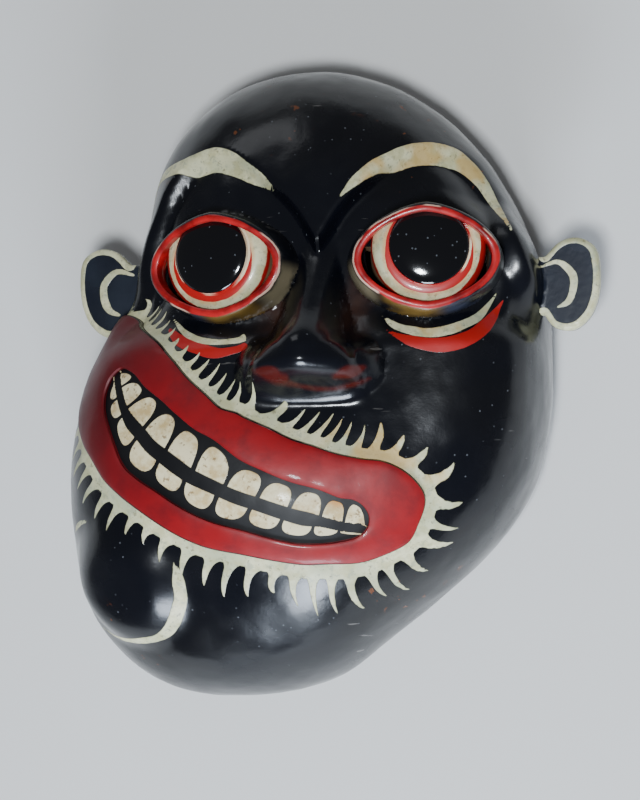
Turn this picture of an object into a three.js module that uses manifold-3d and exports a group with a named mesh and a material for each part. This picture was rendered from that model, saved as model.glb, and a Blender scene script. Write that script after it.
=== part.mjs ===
// A carved wooden demon mask, hollowed from behind, lying on its flat rim.
// Millimetres. X runs to the viewer's right, Y to the crown, Z out of the face.

import * as THREE from "three";
import { mergeGeometries, mergeVertices } from "three/addons/utils/BufferGeometryUtils.js";
import Module from "manifold-3d";

const wasm = await Module();
wasm.setup();

// Head block
const headReach = 136;        // from the middle of the face to the farthest part of the rim
const faceHeight = 90;        // rim plane to the level of the cheeks
const rimWall = 12;           // wall along the flat rim
const frontWall = 15;         // wall behind the cheeks
const skinReach = 155;        // length over the skin from the middle of the face to the rim
const middleX = -8;           // middle of the face, measured from the nose bridge
const crownRoundness = 3;     // 2 is a ball, larger is boxier
const chinRoundness = 3.4;
const sideRoundness = 4.5;
const rimTuck = 0.06;         // how far the side wall draws in at the rim, as a share
const tuckHeight = 45;        // below this height the wall draws in

// Outline of the rim seen from the front: direction in degrees and reach as a share of headReach
const rimOutline = [
  [0, 0.647], [30, 0.699], [55, 0.794], [75, 0.875], [91, 0.912], [106, 0.897],
  [121, 0.824], [136, 0.691], [150, 0.57], [165, 0.596], [180, 0.651], [195, 0.728],
  [210, 0.842], [225, 0.967], [240, 1], [255, 0.938], [270, 0.857], [285, 0.735],
  [300, 0.676], [330, 0.665],
];

// The mouth pushes the lower face out to the left
const muzzle = { x: -28, y: -42, rise: 15, long: 66, wide: 40, slant: -22 };
const muzzleFadeStart = 0.72; // share of the way to the rim
const hollowFollow = 0.6;     // share of the muzzle that the hollow follows
const hollowRunOut = 3;       // how far the hollow's cutter runs out below the rim

// Brow ledge, its lower edge given as distance from the mid line and height
const browEdge = [[0, 50], [8, 63], [18, 73], [30, 82], [41, 86], [52, 83], [61, 74], [69, 59], [74, 45]];
const browRunOn = 5;          // the edge runs straight on for this length past its last point
const browStep = 6;           // depth under the ledge
const browSoftness = 4;
const ledgeFootTop = 24;      // the sunk area comes back to the cheek between these heights
const ledgeFootBottom = 8;
const ledgeEnd = 0.58;        // share of the way to the rim where the ledge starts to fade
const ledgeGone = 0.7;

// Nose
const noseTop = 52;
const noseTipY = 8;
const noseBase = -5;
const noseRise = 24;
const noseBridgeHalf = 6;
const noseBaseHalf = 22;
const noseDrift = -3;         // the base of the nose leans to the left
const noseUndercut = 9;       // half the length of the slope under the nose
const noseSpread = 1.3;       // above 1 keeps the bridge narrow for longer
const noseClimb = 1.6;        // above 1 makes the top of the ridge hollow
const noseCrest = 0.85;       // below 1 makes the ridge rounder
const wing = { across: 16, y: 1, radius: 12, rise: 12 };

// Eyes, the same on both sides of a middle line of their own
const eyeMiddle = 1.5;        // that line, measured from the nose bridge
const eyeAcross = 38.4;
const eyeUp = 39.8;
const eyeSetBack = 7;         // eye's plane below the level of the cheeks
const eyeTurn = 12;           // degrees that each eye looks outwards
const eyeLift = 4;            // degrees that each eye looks up
const lidHalfWidth = 25.2;
const lidHalfHeight = 17.6;
const lidCorner = 1.3;        // 1 is an ellipse, larger draws the corners out
const lidTube = 2.4;          // radius of the rolled lid
const lidCrest = 6;           // middle of the rolled lid above the eye's plane
const lidHood = 5;            // how much further the upper lid stands out
const lidSkirt = 12;          // wall under the rolled lid, down into the swell
const lidFlare = 3;           // how much wider the foot of that wall is
const orbitLevel = -3;        // swell that carries the lids, measured from the eye's plane
const orbitStart = 0.12;      // the swell falls away between these shares of the opening outside the lid
const orbitReach = 0.95;
const orbitEnd = 0.66;        // share of the way to the rim where the swell starts to fade
const orbitGone = 0.86;
const socketFloor = -4;
const ballRadius = 21.2;
const ballUp = 4.4;           // the ball sits this far above the middle of the opening
const ballOut = 1;            // and this far outwards from it
const ballSill = 2;           // edge of the ball above the eye's plane
const ballRootDepth = 2;      // how deep the ball stands in the socket's floor
const irisRadius = 14.8;
const irisSill = 7.5;
const irisStep = 1.2;
const pupilTop = 12;
const slitWidth = 2;
const slitReach = 3;          // length of the slit's cutter, as a share of the front wall
const slitBite = 0.2;         // how far the peep slit cuts into the ball
const slitHalfAngle = 24;     // degrees of the ball's edge that each peep slit follows
const slitLow = 18;           // degrees that the middle of the slit lies below the ball's middle

// Lips, as pairs of points across the lip on the flattened skin: outer x, y, inner x, y
const lipStations = [
  [-87, 31, -68, 3], [-75, 24, -66, 3.5], [-59, 15, -61, 1], [-50, 7, -55, -4], [-42, -0.5, -47, -9],
  [-34, -6, -40, -13], [-24, -11, -30, -17], [-15, -12, -20, -19], [-8, -14, -13, -23], [-2, -19, -6, -28.5],
  [6, -25.5, 0, -33], [15, -30.5, 7.5, -38.5], [24.5, -33, 15, -43.5], [33, -34, 20.5, -45.5],
  [40, -37.5, 23.5, -47.5], [44.5, -43, 25, -50], [45, -48, 25, -52], [42, -54.5, 24, -54],
  [37.5, -60.5, 21, -55.5], [28.5, -63, 17, -55.5], [18, -62.5, 10.5, -54], [5, -57, 2, -50],
  [-7, -51, -7, -45], [-21, -44, -19, -38], [-37, -37, -33.5, -32], [-50, -33, -45, -29],
  [-58.5, -29.5, -52, -26], [-66.5, -24.5, -58, -21], [-75, -19, -64, -15], [-84, -11, -68, -10],
  [-91, 4, -70, -5], [-93, 19, -70, 0],
];
const lipRise = 2.2;
const lipEdge = 0.8;          // the lip's edge stands this far above the skin
const lipFlatness = 0.5;      // below 1 flattens the top of the lip
const lipRoot = 3;            // how deep the lip is rooted under the skin

// Chin boss, placed on the flattened skin
const boss = { x: -48, y: -53, crown: 12, foot: 30, rise: 6 };

// Ears: outline from the root outwards, for the right ear
const earOutline = [
  [2, 11], [8, 16.5], [15, 17.5], [21, 13.5], [22.5, 5], [21.5, -5], [18, -12.5], [12, -17], [5, -16], [1, -11],
];
const earRoot = 10;           // how far the ear runs into the head
const earThick = 9;
const earEdge = 1.8;          // rounding of the ear's edge
const earLevel = 48;          // middle of the ear above the rim plane
const rightEarY = 32;
const leftEarY = 35.5;

// Fineness of the faceting
const skinLines = 40;
const hollowLines = 16;
const middleFineness = 0.7;   // spacing in the middle of the face against the average
const lipSteps = 54;
const lipFacets = 6;
const lidSteps = 32;
const lidFacets = 6;
const ballFacets = 24;
const domeSteps = 3;
const slitSteps = 6;
const mergeGap = 1e-4;        // corners closer than this are one

const clamp = THREE.MathUtils.clamp;
const lerp = THREE.MathUtils.lerp;
const radians = THREE.MathUtils.degToRad;
const fullTurn = 360;         // degrees

function smooth(from, to, x) {
  const t = clamp((x - from) / (to - from), 0, 1);
  return t * t * (3 - 2 * t);
}

// Smooth curve through [place, value] pairs, from the slopes between their neighbours
function curveThrough(pairs, at, before, after) {
  const index = pairs.findIndex(([place]) => place > at);
  const next = index < 0 ? pairs.length : index;
  const pick = (i) => (i < 0 ? before(i) : i >= pairs.length ? after(i) : pairs[i]);
  const [p0, p1, p2, p3] = [pick(next - 2), pick(next - 1), pick(next), pick(next + 1)];
  const span = p2[0] - p1[0];
  const t = (at - p1[0]) / span;
  const slopeIn = ((p2[1] - p0[1]) / (p2[0] - p0[0])) * span;
  const slopeOut = ((p3[1] - p1[1]) / (p3[0] - p1[0])) * span;
  const [t2, t3] = [t * t, t * t * t];
  return (2 * t3 - 3 * t2 + 1) * p1[1] + (t3 - 2 * t2 + t) * slopeIn
    + (3 * t2 - 2 * t3) * p2[1] + (t3 - t2) * slopeOut;
}

function outlineReach(direction) {
  const degrees = THREE.MathUtils.euclideanModulo(THREE.MathUtils.radToDeg(direction), fullTurn);
  const count = rimOutline.length;
  const before = (i) => [rimOutline[i + count][0] - fullTurn, rimOutline[i + count][1]];
  const after = (i) => [rimOutline[i - count][0] + fullTurn, rimOutline[i - count][1]];
  return headReach * curveThrough(rimOutline, degrees, before, after);
}

// The plain head: a boxy dome over the rim outline, found from a place on the flattened skin
function headPoint(skinX, skinY, inset) {
  const along = Math.min(Math.hypot(skinX, skinY) / skinReach, 1);
  const direction = Math.atan2(skinY, skinX);
  const sideways = Math.sin((along * Math.PI) / 2);
  const upwards = Math.cos((along * Math.PI) / 2);
  const endRoundness = direction > 0 ? crownRoundness : chinRoundness;
  const power = lerp(endRoundness, sideRoundness, Math.cos(direction) ** 2);
  const stretch = (sideways ** power + upwards ** power) ** (-1 / power);
  const reach = outlineReach(direction) - inset.side;
  const rise = faceHeight - inset.front;
  const height = rise * stretch * upwards;
  const tuck = 1 - rimTuck * (1 - clamp(height / tuckHeight, 0, 1)) ** 2;
  const lateral = reach * stretch * sideways * tuck;
  const point = new THREE.Vector3(
    middleX + lateral * Math.cos(direction), lateral * Math.sin(direction), height);
  const lean = (stretch * sideways) ** (power - 1) / reach;
  const normal = new THREE.Vector3(
    lean * Math.cos(direction), lean * Math.sin(direction), (stretch * upwards) ** (power - 1) / rise);
  return { point, normal: normal.normalize(), along };
}

function muzzleRise(point, along) {
  const turn = radians(muzzle.slant);
  const across = point.x - muzzle.x;
  const up = point.y - muzzle.y;
  const u = (across * Math.cos(turn) + up * Math.sin(turn)) / muzzle.long;
  const v = (up * Math.cos(turn) - across * Math.sin(turn)) / muzzle.wide;
  return muzzle.rise * Math.exp(-u * u - v * v) * (1 - smooth(muzzleFadeStart, 1, along));
}

function browHeight(across) {
  const first = browEdge[0];
  const last = browEdge.at(-1);
  const beforeLast = browEdge.at(-2);
  const steepness = (last[1] - beforeLast[1]) / (last[0] - beforeLast[0]);
  const beyond = (x) => last[1] + steepness * (x - last[0]);
  if (across >= last[0]) return beyond(across);
  const before = (i) => [first[0] + i * (browEdge[1][0] - first[0]), first[1] + i * (browEdge[1][1] - first[1])];
  return curveThrough(browEdge, across, before, () => [last[0] + browRunOn, beyond(last[0] + browRunOn)]);
}

function browSink(point, along) {
  const across = Math.abs(point.x);
  const edge = browHeight(across);
  const steepness = browHeight(across + 1) - edge;
  const below = (edge - point.y) / Math.hypot(1, steepness);
  const onFront = 1 - smooth(ledgeEnd, ledgeGone, along);
  return browStep * onFront * smooth(0, browSoftness, below) * smooth(ledgeFootBottom, ledgeFootTop, point.y);
}

function noseHeight(point) {
  const down = (noseTop - point.y) / (noseTop - noseBase);
  if (down <= 0) return 0;
  const tipShare = (noseTop - noseTipY) / (noseTop - noseBase);
  const ridge = noseDrift * Math.min(down, 1);
  const half = lerp(noseBridgeHalf, noseBaseHalf, Math.min(down, 1) ** noseSpread);
  const side = Math.min(Math.abs(point.x - ridge) / half, 1);
  const climb = Math.sin((Math.PI / 2) * Math.min(down / tipShare, 1) ** noseClimb);
  const cutOff = smooth(noseBase - noseUndercut, noseBase + noseUndercut, point.y);
  const body = noseRise * climb * (1 - side * side) ** noseCrest;
  const wings = [-1, 1].map((sign) => {
    const off = Math.hypot(point.x - ridge - sign * wing.across, point.y - wing.y) / wing.radius;
    return wing.rise * Math.max(0, 1 - off * off);
  });
  return (body + Math.max(...wings) * (1 - body / noseRise)) * cutOff;
}

// Frame of one eye: local X runs to the viewer's right, Z out of the eye
function eyeFrame(side) {
  const turn = new THREE.Euler(radians(-eyeLift), radians(side * eyeTurn), 0, "YXZ");
  const place = new THREE.Vector3(eyeMiddle + side * eyeAcross, eyeUp, faceHeight - eyeSetBack);
  return new THREE.Matrix4().makeRotationFromEuler(turn).setPosition(place);
}

// Lid opening: 1 on the middle line of the rolled lid
function lidShare(x, y) {
  const across = Math.abs(x) / lidHalfWidth;
  return (across ** (2 / lidCorner) + (Math.abs(y) / lidHalfHeight) ** 2) ** 0.5;
}

function lidPoint(angle, grow) {
  const width = lidHalfWidth + grow;
  const height = lidHalfHeight + grow;
  const cos = Math.cos(angle);
  return new THREE.Vector2(width * Math.sign(cos) * Math.abs(cos) ** lidCorner, height * Math.sin(angle));
}

const eyeSides = [-1, 1];
const eyeFrames = eyeSides.map(eyeFrame);
const eyeInverses = eyeFrames.map((frame) => frame.clone().invert());

function raiseAroundEye(point, along, index) {
  const local = point.clone().applyMatrix4(eyeInverses[index]);
  const outside = lidShare(local.x, local.y) - 1;
  const onFront = 1 - smooth(orbitEnd, orbitGone, along);
  const swell = onFront * (1 - smooth(orbitStart, orbitReach, outside));
  local.z = lerp(local.z, Math.max(local.z, orbitLevel), swell);
  return local.applyMatrix4(eyeFrames[index]);
}

const bossMiddle = headPoint(boss.x, boss.y, { side: 0, front: 0 });

function carvedPoint(skinX, skinY) {
  const { point, normal, along } = headPoint(skinX, skinY, { side: 0, front: 0 });
  const bossOff = point.distanceTo(bossMiddle.point);
  const bossRise = boss.rise * (1 - smooth(boss.crown, boss.foot, bossOff));
  point.addScaledVector(normal, muzzleRise(point, along) + bossRise);
  const carved = raiseAroundEye(point, along, point.x < eyeMiddle ? 0 : 1);
  carved.addScaledVector(normal, -browSink(carved, along));
  carved.z += noseHeight(carved);
  return { point: carved, normal };
}

function hollowPoint(skinX, skinY) {
  const { point, normal, along } = headPoint(skinX, skinY, { side: rimWall, front: frontWall });
  point.addScaledVector(normal, hollowFollow * muzzleRise(point, along));
  point.z = lerp(-hollowRunOut, point.z, clamp(point.z / rimWall, 0, 1));
  return { point, normal };
}

// A square sheet of grid lines wrapped over the head, closed by a flat underside
function wrapSheet(lines, place) {
  const sheet = new THREE.PlaneGeometry(2, 2, lines, lines);
  const position = sheet.attributes.position;
  const spread = (s) => s * lerp(middleFineness, 1, s * s);
  for (let i = 0; i < position.count; i++) {
    const u = spread(position.getX(i));
    const v = spread(position.getY(i));
    const skinX = skinReach * u * Math.sqrt(1 - (v * v) / 2);
    const skinY = skinReach * v * Math.sqrt(1 - (u * u) / 2);
    const { point } = place(skinX, skinY);
    position.setXYZ(i, point.x, point.y, point.z);
  }
  return mergeClosed([sheet, flatUnderside(sheet, lines)]);
}

function flatUnderside(sheet, lines) {
  const position = sheet.attributes.position;
  const side = lines + 1;
  const loop = [];
  for (let i = 0; i < lines; i++) loop.push(i);
  for (let i = 0; i < lines; i++) loop.push(i * side + lines);
  for (let i = lines; i > 0; i--) loop.push(lines * side + i);
  for (let i = lines; i > 0; i--) loop.push(i * side);
  const corners = loop.map((i) => new THREE.Vector2(position.getX(i), position.getY(i)));
  const under = new THREE.ShapeGeometry(new THREE.Shape(corners));
  under.translate(0, 0, position.getZ(0));
  turnOver(under);
  return under;
}

function turnOver(geometry) {
  const index = geometry.index;
  for (let i = 0; i < index.count; i += 3) {
    const second = index.getX(i + 1);
    index.setX(i + 1, index.getX(i + 2));
    index.setX(i + 2, second);
  }
}

function mergeClosed(geometries) {
  const bare = geometries.map((geometry) => {
    const copy = geometry.index ? geometry.clone() : mergeVertices(geometry);
    copy.deleteAttribute("normal");
    copy.deleteAttribute("uv");
    return copy;
  });
  return mergeVertices(bare.length > 1 ? mergeGeometries(bare) : bare[0], mergeGap);
}

function toSolid(geometry) {
  const closed = mergeClosed([geometry]);
  return new wasm.Manifold(new wasm.Mesh({
    numProp: 3,
    vertProperties: new Float32Array(closed.attributes.position.array),
    triVerts: new Uint32Array(closed.index.array),
  }));
}

function toGeometry(solid) {
  const { vertProperties, triVerts, numProp } = solid.getMesh();
  const geometry = new THREE.BufferGeometry();
  const points = new Float32Array((vertProperties.length / numProp) * 3);
  for (let i = 0; i < points.length / 3; i++) {
    points.set(vertProperties.slice(i * numProp, i * numProp + 3), i * 3);
  }
  geometry.setAttribute("position", new THREE.BufferAttribute(points, 3));
  geometry.setIndex([...triVerts]);
  return geometry;
}

// A closed ring whose cross-section is a half-round over a root, from a torus
function ringFrom(steps, facets, place) {
  const ring = new THREE.TorusGeometry(2, 1, facets, steps);
  const position = ring.attributes.position;
  for (let i = 0; i < position.count; i++) {
    const around = Math.atan2(position.getY(i), position.getX(i));
    const out = Math.hypot(position.getX(i), position.getY(i)) - 2;
    const point = place(around, out, position.getZ(i));
    position.setXYZ(i, point.x, point.y, point.z);
  }
  return ring;
}

function lipBand() {
  const ringPoints = (column) => new THREE.CatmullRomCurve3(
    lipStations.map((station) => new THREE.Vector3(station[column], station[column + 1], 0)), true, "catmullrom");
  const outer = ringPoints(0);
  const inner = ringPoints(2);
  const place = (around, out, up) => {
    const share = THREE.MathUtils.euclideanModulo(-around / (2 * Math.PI), 1);
    const onSkin = inner.getPoint(share).lerp(outer.getPoint(share), (out + 1) / 2);
    const { point, normal } = carvedPoint(onSkin.x, onSkin.y);
    const above = up > 0 ? (lipRise - lipEdge) * up ** lipFlatness : up * lipRoot;
    return point.addScaledVector(normal, lipEdge + above);
  };
  return ringFrom(lipSteps, lipFacets, place);
}

function rolledLid(index) {
  const place = (around, out, up) => {
    const foot = Math.max(0, -up);
    const onLid = lidPoint(around, out * lidTube + foot * lidFlare);
    const hood = lidHood * Math.max(0, Math.sin(around)) ** 2;
    const height = lidCrest + hood + up * (up > 0 ? lidTube : lidSkirt + hood);
    return new THREE.Vector3(onLid.x, onLid.y, height).applyMatrix4(eyeFrames[index]);
  };
  return ringFrom(lidSteps, lidFacets, place);
}

// A straight column of the lid's outline, drawn this far outside the middle of its tube
function lidColumn(index, outside, low, high) {
  const corners = [];
  for (let i = 0; i < lidSteps; i++) corners.push(lidPoint((i / lidSteps) * 2 * Math.PI, outside));
  const shape = new THREE.Shape(corners);
  const column = new THREE.ExtrudeGeometry(shape, { depth: high - low, bevelEnabled: false });
  return column.translate(0, 0, low).applyMatrix4(eyeFrames[index]);
}

function socketCutter(index) {
  return lidColumn(index, -lidTube / 2, socketFloor, lidCrest + lidHood + 2 * lidTube);
}

// Points of a quarter round from the edge of a dome inwards, both ends included
function domeProfile(edgeRadius, edgeHeight, innerRadius, innerHeight) {
  return Array.from({ length: domeSteps + 1 }, (_, i) => {
    const angle = (i / domeSteps) * (Math.PI / 2);
    const radius = lerp(innerRadius, edgeRadius, Math.cos(angle));
    return new THREE.Vector2(radius, lerp(edgeHeight, innerHeight, Math.sin(angle)));
  });
}

// The ball is larger than the lid is high, so it ends inside the lid's wall
function eyeBall(index) {
  const root = socketFloor - ballRootDepth;
  const profile = [
    new THREE.Vector2(0, root),
    new THREE.Vector2(ballRadius, root),
    ...domeProfile(ballRadius, ballSill, irisRadius, irisSill),
    ...domeProfile(irisRadius, irisSill + irisStep, 0, pupilTop),
  ];
  const ball = new THREE.LatheGeometry(profile, ballFacets).rotateX(Math.PI / 2);
  ball.translate(eyeSides[index] * ballOut, ballUp, 0).applyMatrix4(eyeFrames[index]);
  const column = lidColumn(index, lidTube / 2, root - lidTube, pupilTop + lidTube);
  return toSolid(ball).intersect(toSolid(column));
}

// Peep slits follow the ball's edge at both corners of the eye and open into the hollow
function peepSlit(index, side) {
  const sweep = radians(slitHalfAngle);
  const middle = side > 0 ? -radians(slitLow) : Math.PI + radians(slitLow);
  const across = eyeSides[index] * ballOut;
  const slit = new THREE.Shape();
  slit.absarc(across, ballUp, ballRadius + slitWidth, middle - sweep, middle + sweep, false);
  slit.absarc(across, ballUp, ballRadius - slitBite, middle + sweep, middle - sweep, true);
  const depth = slitReach * frontWall;
  const cutter = new THREE.ExtrudeGeometry(slit, { depth, bevelEnabled: false, curveSegments: slitSteps });
  return cutter.translate(0, 0, ballSill - depth).applyMatrix4(eyeFrames[index]);
}

// The ear's root is found on the head's wall at the ear's own height
function ear(side, level) {
  const straightAcross = outlineReach(side > 0 ? 0 : Math.PI);
  const direction = Math.atan2(level, side * straightAcross);
  const wall = middleX + outlineReach(direction) * Math.cos(direction);
  const root = [[-earRoot, earOutline.at(-1)[1]], [-earRoot, earOutline[0][1]]];
  const corners = [...root, ...earOutline].map(([x, y]) => new THREE.Vector2(side * x, y));
  const slab = new THREE.ExtrudeGeometry(new THREE.Shape(corners), {
    depth: earThick - 2 * earEdge,
    bevelThickness: earEdge,
    bevelSize: earEdge,
    bevelOffset: -earEdge,
    bevelSegments: 1,
  });
  return slab.translate(wall, level, earLevel - earThick / 2 + earEdge);
}

function carveMask() {
  let solid = toSolid(wrapSheet(skinLines, carvedPoint));
  for (const index of [0, 1]) {
    solid = solid.add(toSolid(rolledLid(index)));
    solid = solid.subtract(toSolid(socketCutter(index)));
    solid = solid.add(eyeBall(index));
  }
  solid = solid.add(toSolid(lipBand()));
  solid = solid.add(toSolid(ear(1, rightEarY)));
  solid = solid.add(toSolid(ear(-1, leftEarY)));
  solid = solid.subtract(toSolid(wrapSheet(hollowLines, hollowPoint)));
  for (const index of [0, 1]) {
    for (const side of [-1, 1]) solid = solid.subtract(toSolid(peepSlit(index, side)));
  }
  return toGeometry(solid);
}

const lacquer = new THREE.MeshStandardMaterial({ color: 0x11131a, roughness: 0.3, metalness: 0 });
const maskGeometry = carveMask();
maskGeometry.computeBoundingBox();
const middle = maskGeometry.boundingBox.getCenter(new THREE.Vector3());
const mask = new THREE.Mesh(maskGeometry, lacquer);
mask.name = "mask";
mask.position.set(-middle.x, -middle.y, 0);

const group = new THREE.Group();
group.add(mask);

export default group;
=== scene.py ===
# Looks of a carved and lacquered demon mask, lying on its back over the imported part.
# Shaped in millimetres: X to the viewer's right, Y to the crown, Z out of the face.

import bmesh
import bpy
import math
import numpy as np
from mathutils import Matrix, Vector, noise


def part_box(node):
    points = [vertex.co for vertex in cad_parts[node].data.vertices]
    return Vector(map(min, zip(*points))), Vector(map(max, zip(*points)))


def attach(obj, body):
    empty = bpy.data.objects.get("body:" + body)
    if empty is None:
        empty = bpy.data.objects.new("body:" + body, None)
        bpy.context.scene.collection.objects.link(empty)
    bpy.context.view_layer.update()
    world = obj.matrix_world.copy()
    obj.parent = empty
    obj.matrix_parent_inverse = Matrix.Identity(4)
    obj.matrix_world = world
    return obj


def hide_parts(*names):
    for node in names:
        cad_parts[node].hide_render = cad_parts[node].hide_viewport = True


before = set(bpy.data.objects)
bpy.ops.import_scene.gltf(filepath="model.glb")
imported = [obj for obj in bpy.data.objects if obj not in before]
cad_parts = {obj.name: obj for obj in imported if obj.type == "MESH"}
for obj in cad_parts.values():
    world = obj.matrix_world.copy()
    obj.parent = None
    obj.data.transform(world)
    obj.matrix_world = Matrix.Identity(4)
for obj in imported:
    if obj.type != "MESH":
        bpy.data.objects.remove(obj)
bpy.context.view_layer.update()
nodeLow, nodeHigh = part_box("mask")

millimetre = 0.001
fullTurn = 360
farOff = 40.0  # mm outside any painted stroke
offSkin = -200.0  # place given to vertices away from the painted skin
strokeReach = 60  # mm round a stroke's middle where its paint is looked for

slots = ["lacqueredFace", "bareWood", "rolledLids", "eyeBalls", "ears"]


def smooth(low, high, x):
    t = np.clip((x - low) / (high - low), 0, 1)
    return t * t * (3 - 2 * t)


def lerp(a, b, t):
    return a + (b - a) * t


def between(t, start, leaving, end, arriving):
    # cubic from one value to the next, with a slope at each end
    t2, t3 = t * t, t * t * t
    return ((2 * t3 - 3 * t2 + 1) * start + (t3 - 2 * t2 + t) * leaving
            + (3 * t2 - 2 * t3) * end + (t3 - t2) * arriving)


def curveThrough(pairs, at):
    # smooth curve through place and value pairs, from the slopes between their neighbours
    places, values = np.array(pairs, float).T
    slopes = (values[2:] - values[:-2]) / (places[2:] - places[:-2])
    i = np.clip(np.searchsorted(places, at, side="right") - 1, 1, len(places) - 3)
    span = places[i + 1] - places[i]
    t = (at - places[i]) / span
    return between(t, values[i], slopes[i - 1] * span, values[i + 1], slopes[i] * span)


head = dict(
    reach=136, faceHeight=90, rimWall=12, frontWall=15, skinReach=155, middleX=-8,
    crownRoundness=3, chinRoundness=3.4, sideRoundness=4.5, rimTuck=0.06, tuckHeight=45,
    hollowFollow=0.6, hollowRunOut=3, gridLines=236, hollowLines=96, middleFineness=0.75,
)
rimOutline = [
    (0, 0.647), (30, 0.699), (55, 0.794), (75, 0.875), (91, 0.912), (106, 0.897), (121, 0.824),
    (136, 0.691), (150, 0.57), (165, 0.596), (180, 0.651), (195, 0.728), (210, 0.842), (225, 0.967),
    (240, 1), (255, 0.938), (270, 0.857), (285, 0.735), (300, 0.676), (330, 0.665),
]


def outlineReach(direction):
    degrees = np.degrees(direction) % fullTurn
    before = [(place - fullTurn, share) for place, share in rimOutline[-2:]]
    after = [(place + fullTurn, share) for place, share in rimOutline[:3]]
    return head["reach"] * curveThrough(before + rimOutline + after, degrees)


def headPoint(skin, side=0, front=0):
    along = np.minimum(np.hypot(skin[:, 0], skin[:, 1]) / head["skinReach"], 1)
    direction = np.arctan2(skin[:, 1], skin[:, 0])
    sideways = np.sin(along * math.pi / 2)
    upwards = np.cos(along * math.pi / 2)
    endRoundness = np.where(direction > 0, head["crownRoundness"], head["chinRoundness"])
    power = lerp(endRoundness, head["sideRoundness"], np.cos(direction) ** 2)
    stretch = (sideways ** power + upwards ** power) ** (-1 / power)
    reach = outlineReach(direction) - side
    rise = head["faceHeight"] - front
    height = rise * stretch * upwards
    tuck = 1 - head["rimTuck"] * (1 - np.clip(height / head["tuckHeight"], 0, 1)) ** 2
    lateral = reach * stretch * sideways * tuck
    point = np.stack([
        head["middleX"] + lateral * np.cos(direction), lateral * np.sin(direction), height], -1)
    lean = (stretch * sideways) ** (power - 1) / reach
    normal = np.stack([
        lean * np.cos(direction), lean * np.sin(direction), (stretch * upwards) ** (power - 1) / rise], -1)
    return point, normal / np.linalg.norm(normal, axis=1)[:, None], along


muzzle = dict(x=-28, y=-42, rise=15, long=66, wide=40, slant=-22, fadeStart=0.72)


def muzzleRise(point, along):
    turn = math.radians(muzzle["slant"])
    across = point[:, 0] - muzzle["x"]
    up = point[:, 1] - muzzle["y"]
    u = (across * math.cos(turn) + up * math.sin(turn)) / muzzle["long"]
    v = (up * math.cos(turn) - across * math.sin(turn)) / muzzle["wide"]
    return muzzle["rise"] * np.exp(-u * u - v * v) * (1 - smooth(muzzle["fadeStart"], 1, along))


brow = dict(
    edge=[(0, 50), (8, 63), (18, 73), (30, 82), (41, 86), (52, 83), (61, 74), (69, 59), (74, 45)],
    runOn=5, step=6, softness=4, footTop=24, footBottom=8, end=0.58, gone=0.7,
)


def browHeight(across):
    edge = brow["edge"]
    (firstX, firstY), (secondX, secondY) = edge[:2]
    (beforeX, beforeY), (lastX, lastY) = edge[-2:]
    steepness = (lastY - beforeY) / (lastX - beforeX)
    start = [(2 * firstX - secondX, 2 * firstY - secondY)]
    end = [(lastX + brow["runOn"], lastY + steepness * brow["runOn"])]
    curve = curveThrough(start + edge + end, np.minimum(across, lastX))
    return np.where(across > lastX, lastY + steepness * (across - lastX), curve)


def browSink(point, along):
    across = np.abs(point[:, 0])
    edge = browHeight(across)
    steepness = browHeight(across + 1) - edge
    below = (edge - point[:, 1]) / np.hypot(1, steepness)
    onFront = 1 - smooth(brow["end"], brow["gone"], along)
    foot = smooth(brow["footBottom"], brow["footTop"], point[:, 1])
    return brow["step"] * onFront * smooth(0, brow["softness"], below) * foot


nose = dict(
    top=52, tipY=8, base=-5, rise=24, bridgeHalf=6, baseHalf=22, drift=-3, undercut=9,
    spread=1.3, climb=1.6, crest=0.85, wingAcross=16, wingY=1, wingRadius=12, wingRise=12,
)


def noseHeight(point):
    down = (nose["top"] - point[:, 1]) / (nose["top"] - nose["base"])
    tipShare = (nose["top"] - nose["tipY"]) / (nose["top"] - nose["base"])
    inside = np.clip(down, 0, 1)
    ridge = nose["drift"] * inside
    half = lerp(nose["bridgeHalf"], nose["baseHalf"], inside ** nose["spread"])
    side = np.minimum(np.abs(point[:, 0] - ridge) / half, 1)
    climb = np.sin(math.pi / 2 * np.clip(down / tipShare, 0, 1) ** nose["climb"])
    cutOff = smooth(nose["base"] - nose["undercut"], nose["base"] + nose["undercut"], point[:, 1])
    body = nose["rise"] * climb * (1 - side * side) ** nose["crest"]
    wings = 0
    for sign in (-1, 1):
        across = point[:, 0] - ridge - sign * nose["wingAcross"]
        off = np.hypot(across, point[:, 1] - nose["wingY"]) / nose["wingRadius"]
        wings = np.maximum(wings, nose["wingRise"] * np.maximum(0, 1 - off * off))
    return np.where(down > 0, (body + wings * (1 - body / nose["rise"])) * cutOff, 0)


eye = dict(
    middle=1.5, across=38.4, up=39.8, setBack=7, turn=12, lift=4, lidHalfWidth=25.2, lidHalfHeight=17.6,
    lidCorner=1.3, lidTube=2.4, lidCrest=6, lidHood=5, lidSkirt=12, lidFlare=3, lidSteps=144, lidFacets=20,
    orbitLevel=-3, orbitStart=0.12, orbitReach=0.95, orbitEnd=0.66, orbitGone=0.86, socketFloor=-4,
    ballRadius=21.2, ballUp=4.4, ballOut=1, ballSill=2, ballRoot=-6, ballSteps=96, domeSteps=14,
    lineSteps=240, irisRadius=14.8, irisSill=7.5, irisStep=1.2, pupilTop=12,
    slitWidth=2, slitDepth=45, slitBite=0.2, slitHalfAngle=24, slitLow=18, slitSteps=28,
)


def eyeMatrix(side):
    # frame of one eye, its Z looking out of the eye
    place = Vector((eye["middle"] + side * eye["across"], eye["up"], head["faceHeight"] - eye["setBack"]))
    lift = Matrix.Rotation(math.radians(-eye["lift"]), 4, "X")
    turn = Matrix.Rotation(math.radians(side * eye["turn"]), 4, "Y")
    return Matrix.Translation(place) @ turn @ lift


eyeSides = (-1, 1)
eyeMatrices = [np.array(eyeMatrix(side)) for side in eyeSides]
eyeInverses = [np.linalg.inv(matrix) for matrix in eyeMatrices]


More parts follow.
